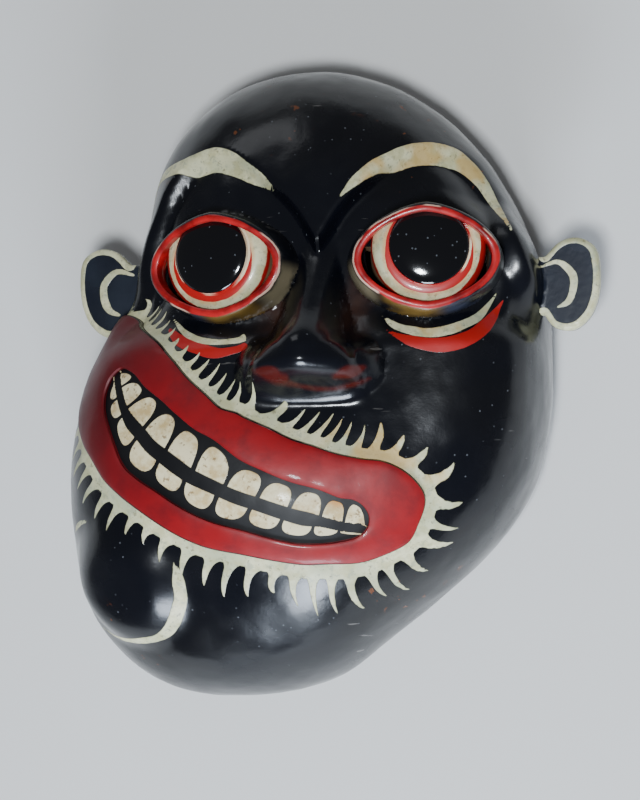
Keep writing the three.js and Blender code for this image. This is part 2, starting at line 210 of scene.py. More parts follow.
def moved(points, matrix):
    return points @ matrix[:3, :3].T + matrix[:3, 3]


def lidShare(x, y):
    across = np.abs(x) / eye["lidHalfWidth"]
    return np.sqrt(across ** (2 / eye["lidCorner"]) + (y / eye["lidHalfHeight"]) ** 2)


def lidPoint(angle, grow):
    width = eye["lidHalfWidth"] + grow
    height = eye["lidHalfHeight"] + grow
    cos = np.cos(angle)
    return np.stack([width * np.sign(cos) * np.abs(cos) ** eye["lidCorner"], height * np.sin(angle)], -1)


def raiseAroundEye(point, along, index):
    local = moved(point, eyeInverses[index])
    outside = lidShare(local[:, 0], local[:, 1]) - 1
    onFront = 1 - smooth(eye["orbitEnd"], eye["orbitGone"], along)
    swell = onFront * (1 - smooth(eye["orbitStart"], eye["orbitReach"], outside))
    local[:, 2] = lerp(local[:, 2], np.maximum(local[:, 2], eye["orbitLevel"]), swell)
    return moved(local, eyeMatrices[index])


boss = dict(x=-48, y=-53, crown=12, foot=30, rise=6)
bossMiddle = headPoint(np.array([[boss["x"], boss["y"]]], float))[0]


# the carver's unevenness: size, depth and seed
cuts = dict(
    broad=(18, 0.45, 3), fine=(6, 0.12, 11), gouge=(7, 1.3, 23), gougeStretch=0.45, gougeStart=15,
    evenFrom=0.8,
)


def handCut(point, size, depth, seed):
    # shallow unevenness left by the carver
    shift = Vector((seed, -seed, 0.5 * seed))
    values = [noise.noise(Vector(p) / size + shift) for p in point]
    return depth * np.array(values)


def carvedPoint(skin):
    point, normal, along = headPoint(skin)
    bossOff = np.linalg.norm(point - bossMiddle, axis=1)
    rise = muzzleRise(point, along) + boss["rise"] * (1 - smooth(boss["crown"], boss["foot"], bossOff))
    point = point + normal * rise[:, None]
    left = (point[:, 0] < eye["middle"])[:, None]
    point = np.where(left, raiseAroundEye(point, along, 0), raiseAroundEye(point, along, 1))
    point = point - normal * browSink(point, along)[:, None]
    point[:, 2] += noseHeight(point)
    cut = handCut(point, *cuts["broad"]) + handCut(point, *cuts["fine"])
    inFromRim = 1 - smooth(cuts["evenFrom"], 1, along)
    return point + normal * (cut * inFromRim)[:, None], normal


def hollowPoint(skin):
    point, normal, along = headPoint(skin, head["rimWall"], head["frontWall"])
    point = point + normal * (head["hollowFollow"] * muzzleRise(point, along))[:, None]
    gouge = handCut(point * np.array([1, cuts["gougeStretch"], 1]), *cuts["gouge"])
    point = point + normal * (gouge * smooth(0, cuts["gougeStart"], point[:, 2]))[:, None]
    depth = np.clip(point[:, 2] / head["rimWall"], 0, 1)
    point[:, 2] = lerp(-head["hollowRunOut"], point[:, 2], depth)
    return point, normal


def readPoints(bm):
    return np.array([v.co[:] for v in bm.verts])


def writePoints(bm, points):
    for v, co in zip(bm.verts, points):
        v.co = co


def cornerPoints(mesh):
    # the vertex at every corner of every face
    corners = np.zeros(len(mesh.loops), np.int32)
    mesh.loops.foreach_get("vertex_index", corners)
    return corners


def finishPiece(bm, name, slot, skin=None):
    # turns a closed bmesh into an object; skin places, where given, go into a UV map
    bmesh.ops.recalc_face_normals(bm, faces=bm.faces[:])
    for face in bm.faces:
        face.material_index = slots.index(slot)
    mesh = bpy.data.meshes.new(name)
    bm.to_mesh(mesh)
    bm.free()
    layer = mesh.uv_layers.new(name="skin")
    if skin is not None:
        places = skin[cornerPoints(mesh)] / (2 * head["skinReach"]) + 0.5
        layer.data.foreach_set("uv", places.astype(np.float32).ravel())
    piece = bpy.data.objects.new(name, mesh)
    bpy.context.scene.collection.objects.link(piece)
    for slotName in slots:
        mesh.materials.append(materials[slotName])
    return piece


def wrappedSheet(name, slot, lines, place):
    # a square grid wrapped over the head and closed by one flat face underneath
    bm = bmesh.new()
    bmesh.ops.create_grid(bm, x_segments=lines, y_segments=lines, size=1)
    flat = readPoints(bm)[:, :2]
    flat = flat * lerp(head["middleFineness"], 1, flat * flat)
    u, v = flat.T
    skin = head["skinReach"] * np.stack([u * np.sqrt(1 - v * v / 2), v * np.sqrt(1 - u * u / 2)], -1)
    writePoints(bm, place(skin)[0])
    bmesh.ops.holes_fill(bm, edges=[e for e in bm.edges if e.is_boundary], sides=0)
    return finishPiece(bm, name, slot, skin)


def ringPiece(name, slot, steps, facets, place):
    # a closed ring, spun from a small circle; place(around, out, up) sets its final shape
    bm = bmesh.new()
    middle = 2
    upright = Matrix.Translation((middle, 0, 0)) @ Matrix.Rotation(math.pi / 2, 4, "X")
    section = bmesh.ops.create_circle(bm, segments=facets, radius=1, matrix=upright)
    edges = list({e for v in section["verts"] for e in v.link_edges})
    bmesh.ops.spin(
        bm, geom=section["verts"] + edges, cent=(0, 0, 0), axis=(0, 0, 1), steps=steps,
        angle=2 * math.pi, use_merge=True)
    points = readPoints(bm)
    around = np.arctan2(points[:, 1], points[:, 0])
    out = np.hypot(points[:, 0], points[:, 1]) - middle
    placed, skin = place(around, out, points[:, 2])
    writePoints(bm, placed)
    return finishPiece(bm, name, slot, skin)


def closedCurve(stations, share):
    # smooth closed curve through the stations, evenly shared out between them
    stations = np.array(stations, float)
    count = len(stations)
    place = (share % 1) * count
    i = np.floor(place).astype(int)
    t = (place - i)[:, None]
    before, here, after, beyond = (stations[(i + step) % count] for step in (-1, 0, 1, 2))
    return between(t, here, (after - before) / 2, after, (beyond - here) / 2)


# outer and inner edge of the painted lips on the flattened skin: x, y and x, y
lipStations = [
    (-87, 31, -68, 3), (-75, 24, -66, 3.5), (-59, 15, -61, 1), (-50, 7, -55, -4), (-42, -0.5, -47, -9),
    (-34, -6, -40, -13), (-24, -11, -30, -17), (-15, -12, -20, -19), (-8, -14, -13, -23),
    (-2, -19, -6, -28.5), (6, -25.5, 0, -33), (15, -30.5, 7.5, -38.5), (24.5, -33, 15, -43.5),
    (33, -34, 20.5, -45.5), (40, -37.5, 23.5, -47.5), (44.5, -43, 25, -50), (45, -48, 25, -52),
    (42, -54.5, 24, -54), (37.5, -60.5, 21, -55.5), (28.5, -63, 17, -55.5), (18, -62.5, 10.5, -54),
    (5, -57, 2, -50), (-7, -51, -7, -45), (-21, -44, -19, -38), (-37, -37, -33.5, -32),
    (-50, -33, -45, -29), (-58.5, -29.5, -52, -26), (-66.5, -24.5, -58, -21), (-75, -19, -64, -15),
    (-84, -11, -68, -10), (-91, 4, -70, -5), (-93, 19, -70, 0),
]
lips = dict(rise=2.2, edge=0.8, flatness=0.5, root=3, steps=416, facets=24)
outerStations = [station[:2] for station in lipStations]
innerStations = [station[2:] for station in lipStations]


def placeLip(around, out, up):
    share = -around / (2 * math.pi)
    across = ((out + 1) / 2)[:, None]
    onSkin = lerp(closedCurve(innerStations, share), closedCurve(outerStations, share), across)
    point, normal = carvedPoint(onSkin)
    above = (lips["rise"] - lips["edge"]) * np.abs(up) ** lips["flatness"]
    height = lips["edge"] + np.where(up > 0, above, up * lips["root"])
    return point + normal * height[:, None], onSkin


def placeLid(index):
    def place(around, out, up):
        foot = np.maximum(0, -up)
        onLid = lidPoint(around, out * eye["lidTube"] + foot * eye["lidFlare"])
        hood = eye["lidHood"] * np.maximum(0, np.sin(around)) ** 2
        height = eye["lidCrest"] + hood + up * np.where(up > 0, eye["lidTube"], eye["lidSkirt"] + hood)
        local = np.column_stack([onLid, height])
        return moved(local, eyeMatrices[index]), None
    return place


def extruded(name, slot, corners, low, high, matrix=None, bevel=0, mesh=0):
    # a flat outline drawn up between two levels, cut into a mesh where paint follows it
    bm = bmesh.new()
    verts = [bm.verts.new((x, y, low)) for x, y in corners]
    face = bm.faces.new(verts)
    grown = bmesh.ops.extrude_face_region(bm, geom=[face])
    top = [v for v in grown["geom"] if isinstance(v, bmesh.types.BMVert)]
    bmesh.ops.translate(bm, verts=top, vec=(0, 0, high - low))
    if bevel:
        flatEdges = [e for e in bm.edges if abs(e.verts[0].co.z - e.verts[1].co.z) < bevel]
        bmesh.ops.bevel(
            bm, geom=flatEdges, offset=bevel, offset_type="OFFSET", affect="EDGES", segments=4, profile=0.5,
            material=-1)
    if mesh:
        points = readPoints(bm)
        for axis in (0, 1):
            for place in np.arange(points[:, axis].min() + mesh, points[:, axis].max(), mesh):
                plane = Vector((0, 0, 0))
                plane[axis] = 1
                bmesh.ops.bisect_plane(
                    bm, geom=bm.verts[:] + bm.edges[:] + bm.faces[:], dist=0.0001, plane_co=plane * place,
                    plane_no=plane)
    if matrix is not None:
        writePoints(bm, moved(readPoints(bm), matrix))
    return finishPiece(bm, name, slot)


def lidColumn(name, slot, index, outside, low, high):
    # a straight column of the lid's outline, drawn this far outside the middle of its tube
    angles = np.linspace(0, 2 * math.pi, eye["lidSteps"], endpoint=False)
    return extruded(name, slot, lidPoint(angles, outside), low, high, eyeMatrices[index])


def socketCutter(index):
    top = eye["lidCrest"] + eye["lidHood"] + 2 * eye["lidTube"]
    return lidColumn(f"socket{index}", "rolledLids", index, -eye["lidTube"] / 2, eye["socketFloor"], top)


def domeProfile(edgeRadius, edgeHeight, innerRadius, innerHeight):
    angles = np.linspace(0, math.pi / 2, eye["domeSteps"] + 1)
    radii = lerp(innerRadius, edgeRadius, np.cos(angles))
    heights = lerp(edgeHeight, innerHeight, np.sin(angles))
    return list(zip(radii, heights))


def eyeBall(index):
    profile = [(0, eye["ballRoot"]), (eye["ballRadius"], eye["ballRoot"])]
    profile += domeProfile(eye["ballRadius"], eye["ballSill"], eye["irisRadius"], eye["irisSill"])
    profile += domeProfile(eye["irisRadius"], eye["irisSill"] + eye["irisStep"], 0, eye["pupilTop"])
    bm = bmesh.new()
    verts = [bm.verts.new((radius, 0, height)) for radius, height in profile]
    edges = [bm.edges.new(pair) for pair in zip(verts, verts[1:])]
    bmesh.ops.spin(
        bm, geom=verts + edges, cent=(0, 0, 0), axis=(0, 0, 1), steps=eye["ballSteps"], angle=2 * math.pi,
        use_merge=True)
    bmesh.ops.remove_doubles(bm, verts=bm.verts[:], dist=0.001)
    bmesh.ops.translate(bm, verts=bm.verts[:], vec=(eyeSides[index] * eye["ballOut"], eye["ballUp"], 0))
    writePoints(bm, moved(readPoints(bm), eyeMatrices[index]))
    ball = finishPiece(bm, f"ball{index}", "eyeBalls")
    low, high = eye["ballRoot"] - eye["lidTube"], eye["pupilTop"] + eye["lidTube"]
    column = lidColumn(f"column{index}", "eyeBalls", index, eye["lidTube"] / 2, low, high)
    return joined(ball, [("INTERSECT", column)])


def peepSlit(index, side):
    # a curved slot beside the ball, open into the hollow
    sweep = math.radians(eye["slitHalfAngle"])
    drop = math.radians(eye["slitLow"])
    middle = -drop if side > 0 else math.pi + drop
    across = eyeSides[index] * eye["ballOut"]
    angles = np.linspace(middle - sweep, middle + sweep, eye["slitSteps"])
    outer = eye["ballRadius"] + eye["slitWidth"]
    inner = eye["ballRadius"] - eye["slitBite"]
    corners = []
    for radius, turn in ((outer, angles), (inner, angles[::-1])):
        corners += [(across + radius * math.cos(a), eye["ballUp"] + radius * math.sin(a)) for a in turn]
    low = eye["ballSill"] - eye["slitDepth"]
    return extruded(f"slit{index}{side}", "bareWood", corners, low, eye["ballSill"], eyeMatrices[index])


ears = dict(
    outline=[(2, 11), (8, 16.5), (15, 17.5), (21, 13.5), (22.5, 5), (21.5, -5), (18, -12.5), (12, -17),
        (5, -16), (1, -11)],
    root=10, thick=9, edge=1.8, level=48, rightY=32, leftY=35.5, border=2.4, mesh=1.1,
    middle=(10, 0), paintReach=30,
    crescent=[(0.5, 7, 0.5), (7, 8.5, 1.1), (12, 4, 1.4), (12.6, -1, 1.4), (10.5, -6.5, 1.2),
        (6.5, -8.5, 0.5)],
)


def earWall(side, level):
    # the head's wall at the ear's own height
    straight = outlineReach(np.array([0 if side > 0 else math.pi]))[0]
    direction = np.array([math.atan2(level, side * straight)])
    return head["middleX"] + outlineReach(direction)[0] * math.cos(direction[0])


def ear(side, level):
    outline = closedEarOutline()
    corners = [(side * x, y) for x, y in outline]
    matrix = np.array(Matrix.Translation((earWall(side, level), level, ears["level"] - ears["thick"] / 2)))
    return extruded(f"ear{side}", "ears", corners, 0, ears["thick"], matrix, ears["edge"], ears["mesh"])


def closedEarOutline():
    # the free edge is drawn smooth between its points; the root stays straight
    free = smoothLine(ears["outline"], 6)
    root = [(-ears["root"], free[-1][1]), (-ears["root"], free[0][1])]
    return root + [tuple(p) for p in free]


def joined(base, steps):
    # applies the cutters and additions in order and leaves one closed piece
    for kind, tool in steps:
        step = base.modifiers.new(tool.name, "BOOLEAN")
        step.operation = kind
        step.object = tool
        step.solver = "MANIFOLD"
    result = bpy.data.meshes.new_from_object(base.evaluated_get(bpy.context.evaluated_depsgraph_get()))
    base.modifiers.clear()
    base.data = result
    for kind, tool in steps:
        bpy.data.objects.remove(tool)
    return base


def carveMask():
    face = wrappedSheet("carvedMask", "lacqueredFace", head["gridLines"], carvedPoint)
    steps = []
    for index in (0, 1):
        lid = ringPiece(f"lid{index}", "rolledLids", eye["lidSteps"], eye["lidFacets"], placeLid(index))
        steps += [("UNION", lid), ("DIFFERENCE", socketCutter(index)), ("UNION", eyeBall(index))]
    steps.append(("UNION", ringPiece("lips", "lacqueredFace", lips["steps"], lips["facets"], placeLip)))
    steps.append(("UNION", ear(1, ears["rightY"])))
    steps.append(("UNION", ear(-1, ears["leftY"])))
    steps.append(("DIFFERENCE", wrappedSheet("hollow", "bareWood", head["hollowLines"], hollowPoint)))
    for index in (0, 1):
        steps += [("DIFFERENCE", peepSlit(index, side)) for side in (-1, 1)]
    return joined(face, steps)


def lengthsAlong(line):
    # length of the line up to each of its points
    return np.concatenate([[0], np.hypot(*np.diff(line[:, :2], axis=0).T).cumsum()])


def distanceTo(points, line):
    # distance, place along the line and side of it, for each point
    line = np.array(line, float)
    start, step = line[:-1, :2], np.diff(line[:, :2], axis=0)
    length = np.hypot(*step.T)
    before = lengthsAlong(line)
    best = np.full(len(points), 1e9)
    along, side = np.zeros(len(points)), np.zeros(len(points))
    for i in range(len(start)):
        off = points - start[i]
        t = np.clip((off @ step[i]) / length[i] ** 2, 0, 1)
        gap = np.hypot(*(off - t[:, None] * step[i]).T)
        nearer = gap < best
        best = np.where(nearer, gap, best)
        along = np.where(nearer, before[i] + t * length[i], along)
        turned = step[i, 0] * off[:, 1] - step[i, 1] * off[:, 0]
        side = np.where(nearer, np.sign(turned), side)
    return best, along, side


def smoothLine(line, steps=8):
    # an open line drawn smoothly through its points
    line = np.array(line, float)
    padded = np.vstack([2 * line[0] - line[1], line, 2 * line[-1] - line[-2]])
    t = np.linspace(0, 1, steps, endpoint=False)[:, None]
    fours = zip(padded, padded[1:], padded[2:], padded[3:])
    parts = [between(t, p1, (p2 - p0) / 2, p2, (p3 - p1) / 2) for p0, p1, p2, p3 in fours]
    return np.vstack(parts + [line[-1:]])


# painted strokes on the flattened skin: x, y and half width
creamStrokes = dict(
    leftBrow=[(-64, 66, 0.3), (-61.3, 72.7, 0.8), (-56.7, 74.9, 1.6), (-47, 71.3, 2.1),
        (-36.5, 68.5, 2.5), (-27.5, 67.2, 2.7), (-20.3, 63.3, 2.3), (-13, 58, 1.6), (-7.2, 53.4, 0.4)],
    rightBrow=[(13, 51.5, 0.4), (17.6, 56.8, 1.3), (22.6, 61.5, 1.9), (28.2, 65.4, 2.1),
        (37, 71.4, 2.3), (46.6, 75.9, 2.5), (56, 77.3, 2.5), (65.6, 73.8, 2.3), (73.3, 65.7, 1.7),
        (79.8, 53.4, 0.3)],
    leftCrescent=[(-59, 26.2, 0.2), (-51, 19.5, 1), (-43.2, 15.5, 1.4), (-36, 14.4, 1.5),
        (-29, 15, 1.3), (-23.5, 15.7, 1.2)],
    rightCrescent=[(31.2, 19.8, 0.2), (37.2, 16.2, 1.1), (43.2, 14.3, 1.5), (50.4, 13.1, 1.7),
        (58.7, 14.7, 1.9), (68.7, 20.1, 1.6), (77, 30, 0.2)],
    bossArc=[(-31.6, -46.2, 0.3), (-31, -48.4, 0.9), (-30.9, -51, 1.4), (-31, -55.3, 1.5),
        (-34, -61.6, 1.5), (-38.4, -65.5, 1.4), (-45, -67.4, 1.2), (-54.4, -69.4, 0.8),
        (-69, -72.8, 0.3)],
    bossTop=[(-79.8, -48.5, 0.2), (-70.4, -42.6, 0.6), (-63.6, -40.2, 0.2)],
)
redStrokes = dict(
    leftCrescent=[(-58, 21, 0.6), (-49.8, 14.8, 2.2), (-41, 10.9, 2.5), (-34.3, 9.1, 2.5),
        (-28.3, 10.4, 2), (-24, 12.4, 1.7)],
    rightCrescent=[(34.3, 14.5, 0.2), (44.4, 10.2, 1.9), (54.6, 8.4, 2.6), (64, 11, 2.8),
        (74, 19.4, 2.1), (80.8, 27.4, 0.2)],
)
noseStrokes = dict(
    leftNostril=[(-12, -0.5, 1), (-6, -1.2, 2.4), (0, -3, 1)],
    rightNostril=[(19, -3.6, 0.8), (25, -1.6, 2.4), (29.4, 0.4, 0.8)],
    foot=[(-14.6, 0.3, 0.3), (-2.7, -2.9, 0.6), (4.5, -6.5, 0.6), (15.8, -8, 0.6), (25.4, -6.2, 0.7),
        (30.8, -3.8, 0.3)],
)


def strokeField(points, strokes):
    # distance outside the nearest painted stroke, negative inside
    field = np.full(len(points), farOff)
    for stroke in strokes.values():
        line = smoothLine(stroke)
        near = np.hypot(*(points - line[:, :2].mean(0)).T) < strokeReach
        gap, along = distanceTo(points[near], line)[:2]
        half = np.interp(along, lengthsAlong(line), line[:, 2])
        field[near] = np.minimum(field[near], gap - half)
    return field


def closedField(points, stations, count=420):
    # signed distance from a closed line, negative inside, and the place along it
    shares = np.linspace(0, 1, count)
    line = closedCurve(stations, np.append(shares[:-1], 0))
    gap, along, side = distanceTo(points, line)
    return gap * side, along, line


# spiky cream fringe round the lips: place along the outer lip line in mm, from its upper left end
fringe = dict(
    spikes=59, hook=0.45, reachLow=0.85, reachLuck=0.3, spikeHalf=0.2, footFlare=0.16,
    taper=0.65, flareTaper=9.0, offMiddle=0.14, ragged=0.9,
    reach=[(0, 12), (22, 10), (37, 6), (58, 9.5), (75, 9), (90, 7.5), (105, 9), (124, 13.5), (140, 12),
        (160, 14.5), (183, 17.5), (203, 13.5), (218, 8), (234, 11.5), (258, 5), (280, 10), (297, 12),
        (330, 11)],
    band=[(0, 2.5), (30, 2.8), (60, 2.2), (105, 2.3), (125, 3.3), (150, 3.6), (172, 4.6), (195, 4.4),
        (215, 3.3), (245, 2.4), (262, 2.3), (280, 3.2), (330, 3)],
    lean=[(0, -0.3), (88, -0.25), (100, 0.55), (132, 0.45), (150, 0.05), (168, -0.35), (188, -0.6),
        (207, -0.6), (222, -0.1), (256, 0), (282, 0.3), (330, 0.3)],
)


def roundTheLips(pairs, along, length):
    # a value set at places along the closed lip line, straight between them
    places, values = np.array(pairs + [(length, pairs[0][1])], float).T
    return np.interp(along, places, values)


def fringeFields(outside, along, line):
    length = lengthsAlong(line)[-1]
    reach, band, lean = (roundTheLips(fringe[name], along, length) for name in ("reach", "band", "lean"))
    out = np.clip((outside - band) / (reach - band), -1, 2)
    bent = (lean + fringe["hook"]) * out - fringe["hook"] * out * np.abs(out)
    return along / length * fringe["spikes"] - bent, out, outside - band


# the bite line and where each tooth ends along it, in mm from its left end
biteLine = [
    (-69, 2), (-67, -1.5), (-64, -6), (-60, -11), (-55.5, -15), (-49.5, -18.5), (-44, -21.5), (-37, -24),
    (-28, -26.5), (-19, -29.5), (-11, -34.5), (-2, -40.5), (6, -46), (15, -51.5), (23, -54.5),
]
upperEnds = [0.8, 6.6, 16, 28, 41, 53, 62.5, 71.5, 81.5, 93, 102, 110.5]
lowerEnds = [2.5, 10, 17.2, 28, 40.3, 51.5, 61.7, 71.2, 81, 91.6, 101, 110]
bite = dict(half=1.6, taper=22, thinnest=0.72, upperGum=1.2, lowerGum=1.8, pastEnd=0.1)
tooth = dict(
    half=0.43, sidePower=2.8, crownStart=0.15, crownPower=2.4, stainedTooth=9.0, colour=(0.9, 0.8, 0.5),
    pale=(0.66, 0.55, 0.34), mottle=(0.6, 0.44, 0.2), stain=(0.6, 0.25, 0.04), speck=(0.2, 0.1, 0.03),
)


def toothFields(points, toLip):
    # number of the tooth along its row, height from the bite band to the gum, and row
    line = smoothLine(biteLine)
    length = lengthsAlong(line)[-1]
    gap, along, side = distanceTo(points, line)
    along = along * lowerEnds[-1] / length
    counts = np.arange(len(upperEnds))
    beyond = dict(left=-bite["pastEnd"], right=counts[-1] + bite["pastEnd"])
    upper, lower = (np.interp(along, ends, counts, **beyond) for ends in (upperEnds, lowerEnds))
    fromEnd = np.minimum(along, lowerEnds[-1] - along)
    half = bite["half"] * np.clip(fromEnd / bite["taper"], bite["thinnest"], 1)
    gum = np.where(side > 0, bite["upperGum"], bite["lowerGum"])
    height = (gap - half) / np.maximum(gap + np.maximum(toLip, 0) - half - gum, 0.5)
    return np.where(side > 0, upper, lower), height, side


def giveFloat(mesh, name, values):
    layer = mesh.attributes.new(name, "FLOAT", "POINT")
    layer.data.foreach_set("value", np.asarray(values, np.float32))


def giveVector(mesh, name, values):
    layer = mesh.attributes.new(name, "FLOAT_VECTOR", "POINT")
    layer.data.foreach_set("vector", np.asarray(values, np.float32).ravel())


def skinPlaces(mesh):
    # place on the flattened skin for every vertex, from the faces that carry one
    flat = np.zeros(2 * len(mesh.loops), np.float32)
    mesh.uv_layers["skin"].data.foreach_get("uv", flat)
    sizes = np.zeros(len(mesh.polygons), np.int32)
    mesh.polygons.foreach_get("loop_total", sizes)
    slot = np.zeros(len(mesh.polygons), np.int32)
    mesh.polygons.foreach_get("material_index", slot)
    painted = np.repeat(slot == slots.index("lacqueredFace"), sizes)
    skin = np.full((len(mesh.vertices), 2), offSkin)
    places = (flat.reshape(-1, 2) - 0.5) * 2 * head["skinReach"]
    skin[cornerPoints(mesh)[painted]] = places[painted]
    return skin


def paintFields(piece, points):
    # everything painted follows from the place on the skin, in the eye's frame or on the ear
    mesh = piece.data
    skin = skinPlaces(mesh)
    outside, along, line = closedField(skin, outerStations)
    giveFloat(mesh, "lipField", outside)
    inner = closedField(skin, innerStations)[0]
    giveFloat(mesh, "mouthField", inner)
    giveVector(mesh, "fringe", np.column_stack(fringeFields(outside, along, line)))
    giveVector(mesh, "teeth", np.column_stack(toothFields(skin, -inner)))
    for name, strokes in (("creamField", creamStrokes), ("redField", redStrokes), ("noseField", noseStrokes)):
        giveFloat(mesh, name, strokeField(skin, strokes))
    giveVector(mesh, "skinPlace", np.column_stack([skin, np.zeros(len(skin))]))
    right = (points[:, 0] > eye["middle"])[:, None]
    local = np.where(right, moved(points, eyeInverses[1]), moved(points, eyeInverses[0]))
    giveVector(mesh, "eyePlace", local)
    ring = lidPoint(np.linspace(0, 2 * math.pi, eye["lineSteps"] + 1), 0)
    gap, around, side = distanceTo(local[:, :2], ring)
    rightOrLeft = np.where(right[:, 0], 1, -1)
    giveVector(mesh, "lidPlace", np.column_stack([-gap * side, local[:, 2], rightOrLeft]))
    earField, earStroke = earFields(points)
    giveFloat(mesh, "earField", earField)
    giveFloat(mesh, "earStroke", earStroke)


def earFields(points):
    field = np.full(len(points), farOff)
    stroke = np.full(len(points), farOff)
    outline = closedEarOutline()
    free = np.array(outline[2:])
    for side, level in ((1, ears["rightY"]), (-1, ears["leftY"])):
        local = (points[:, :2] - (earWall(side, level), level)) * (side, 1)
        near = (np.abs(local - ears["middle"]) < ears["paintReach"]).all(1)
        field[near] = distanceTo(local[near], free)[0]
        stroke[near] = strokeField(local[near], dict(crescent=ears["crescent"]))
    return field, stroke


seams = dict(reach=2, rounds=4, share=0.5, sharpAngle=38)


def softenSeams(piece):
    # eases the corner where the lids and ears meet the face
    bm = bmesh.new()
    bm.from_mesh(piece.data)
    face, lid, ear = (slots.index(name) for name in ("lacqueredFace", "rolledLids", "ears"))
    seam = set()
    for edge in bm.edges:
        kinds = {f.material_index for f in edge.link_faces}
        if kinds in ({face, lid}, {face, ear}):
            seam.update(edge.verts)
    for step in range(seams["reach"]):
        seam |= {e.other_vert(v) for v in seam for e in v.link_edges}
    seam = list(seam)
    for step in range(seams["rounds"]):
        bmesh.ops.smooth_vert(
            bm, verts=seam, factor=seams["share"], use_axis_x=True, use_axis_y=True, use_axis_z=True)
    bm.to_mesh(piece.data)
    bm.free()


class Nodes:
    # short calls for building one material's node tree

    def __init__(self, name):
        self.material = bpy.data.materials.new(name)
        self.material.use_nodes = True
        self.tree = self.material.node_tree
        self.tree.nodes.clear()
        self.place = self.add("ShaderNodeTexCoord").outputs["Object"]

    def add(self, kind, inputs=None, **settings):
        node = self.tree.nodes.new(kind)
        for name, value in settings.items():
            setattr(node, name, value)
        for name, value in (inputs or {}).items():
            self.feed(node.inputs[name], value)
        return node

    def feed(self, socket, value):
        if isinstance(value, bpy.types.NodeSocket):
            self.tree.links.new(value, socket)
        elif isinstance(value, tuple) and len(value) == 3 and socket.type == "RGBA":
            socket.default_value = (*value, 1)
        else:
            socket.default_value = value

    def math(self, kind, a, b=0.0, c=0.0):
        return self.add("ShaderNodeMath", {0: a, 1: b, 2: c}, operation=kind).outputs[0]

    def plus(self, a, b):
        return self.math("ADD", a, b)

    def minus(self, a, b):
        return self.math("SUBTRACT", a, b)

    def gap(self, a, b):
        return self.math("ABSOLUTE", self.minus(a, b))

    def times(self, first, *others):
        for other in others:
            first = self.math("MULTIPLY", first, other)
        return first

    def ramp(self, value, low, high, start=0.0, end=1.0):
        node = self.add(
            "ShaderNodeMapRange",
            {"Value": value, "From Min": low, "From Max": high, "To Min": start, "To Max": end},
            interpolation_type="SMOOTHSTEP")
        return node.outputs["Result"]

    def mix(self, share, a, b):
        node = self.add("ShaderNodeMix", data_type="RGBA")
        self.feed(node.inputs["Factor"], share)
        self.feed(node.inputs[6], a)
        self.feed(node.inputs[7], b)
        return node.outputs[2]

    def lay(self, base, colour, share, amount=1.0):
        # lays a colour over another where the share is 1
        if amount < 1:
            share = self.math("MULTIPLY", share, amount)
        return self.mix(share, base, colour)

    def mixValue(self, share, a, b):
        node = self.add("ShaderNodeMix", data_type="FLOAT")
        self.feed(node.inputs[0], share)
        self.feed(node.inputs[2], a)
        self.feed(node.inputs[3], b)
        return node.outputs[0]

    def noise(self, scale, detail=3.0, place=None, roughness=0.5):
        node = self.add(
            "ShaderNodeTexNoise",
            {"Vector": place or self.place, "Scale": scale, "Detail": detail, "Roughness": roughness})
        return node.outputs["Fac"]

    def stretched(self, scale, turn=(0.0, 0.0, 0.0)):
        node = self.add("ShaderNodeMapping", {"Vector": self.place, "Rotation": turn, "Scale": scale})
        return node.outputs[0]

    def patches(self, scale, detail, low, high, roughness=0.5):
        return self.ramp(self.noise(scale, detail, roughness=roughness), low, high)

    def wobble(self, scale, detail, size=1.0):
        # noise round zero, for uneven painted edges
        return self.times(self.minus(self.noise(scale, detail), 0.5), size)

    def luck(self, number):
        return self.add("ShaderNodeTexWhiteNoise", {"W": number}, noise_dimensions="1D").outputs["Value"]

    def field(self, name):
        return self.add("ShaderNodeAttribute", attribute_name=name).outputs["Fac"]

    def fields(self, name):
        vector = self.add("ShaderNodeAttribute", attribute_name=name).outputs["Vector"]
        return self.add("ShaderNodeSeparateXYZ", {0: vector}).outputs

    def inside(self, field, edge=0.0, softness=0.12):
        # 1 where the field is below the edge
        return self.ramp(field, edge - softness, edge + softness, 1.0, 0.0)

    def speckle(self, scale, size, seed=(0.0, 0.0, 0.0)):
        # sparse round dots, 1 inside a dot
        shifted = self.add("ShaderNodeVectorMath", {0: self.place, 1: seed}, operation="ADD").outputs[0]
        dots = self.add("ShaderNodeTexVoronoi", {"Vector": shifted, "Scale": scale, "Randomness": 1.0})
        return self.ramp(dots.outputs["Distance"], size * 0.6, size, 1.0, 0.0)

    def finish(self, colour, roughness, height=None, strength=0.4, distance=0.0004, coat=0.0, shine=0.5):
        inputs = {"Base Color": colour, "Roughness": roughness, "Coat Weight": coat,
                  "Coat Roughness": 0.08, "Specular IOR Level": shine}
        if height is not None:
            bump = self.add("ShaderNodeBump", {"Strength": strength, "Distance": distance, "Height": height})
            inputs["Normal"] = bump.outputs[0]
            inputs["Coat Normal"] = bump.outputs[0]
        shader = self.add("ShaderNodeBsdfPrincipled", inputs)
        self.add("ShaderNodeOutputMaterial", {"Surface": shader.outputs[0]})
        return self.material


creamLook = dict(
    colour=(0.78, 0.75, 0.48), shade=(0.5, 0.52, 0.33), brushed=(0.46, 0.43, 0.2), thin=(0.3, 0.33, 0.24),
    dirt=(0.12, 0.1, 0.05),
)


def creamPaint(n):
    base = n.mix(n.patches(55, 4, 0.35, 0.72), creamLook["colour"], creamLook["shade"])
    base = n.lay(base, creamLook["brushed"], n.patches(190, 4, 0.42, 0.62, 0.65), 0.55)
    base = n.lay(base, creamLook["thin"], n.patches(330, 4, 0.54, 0.64, 0.7), 0.5)
    return n.lay(base, creamLook["dirt"], n.patches(420, 3, 0.6, 0.68, 0.7), 0.55)


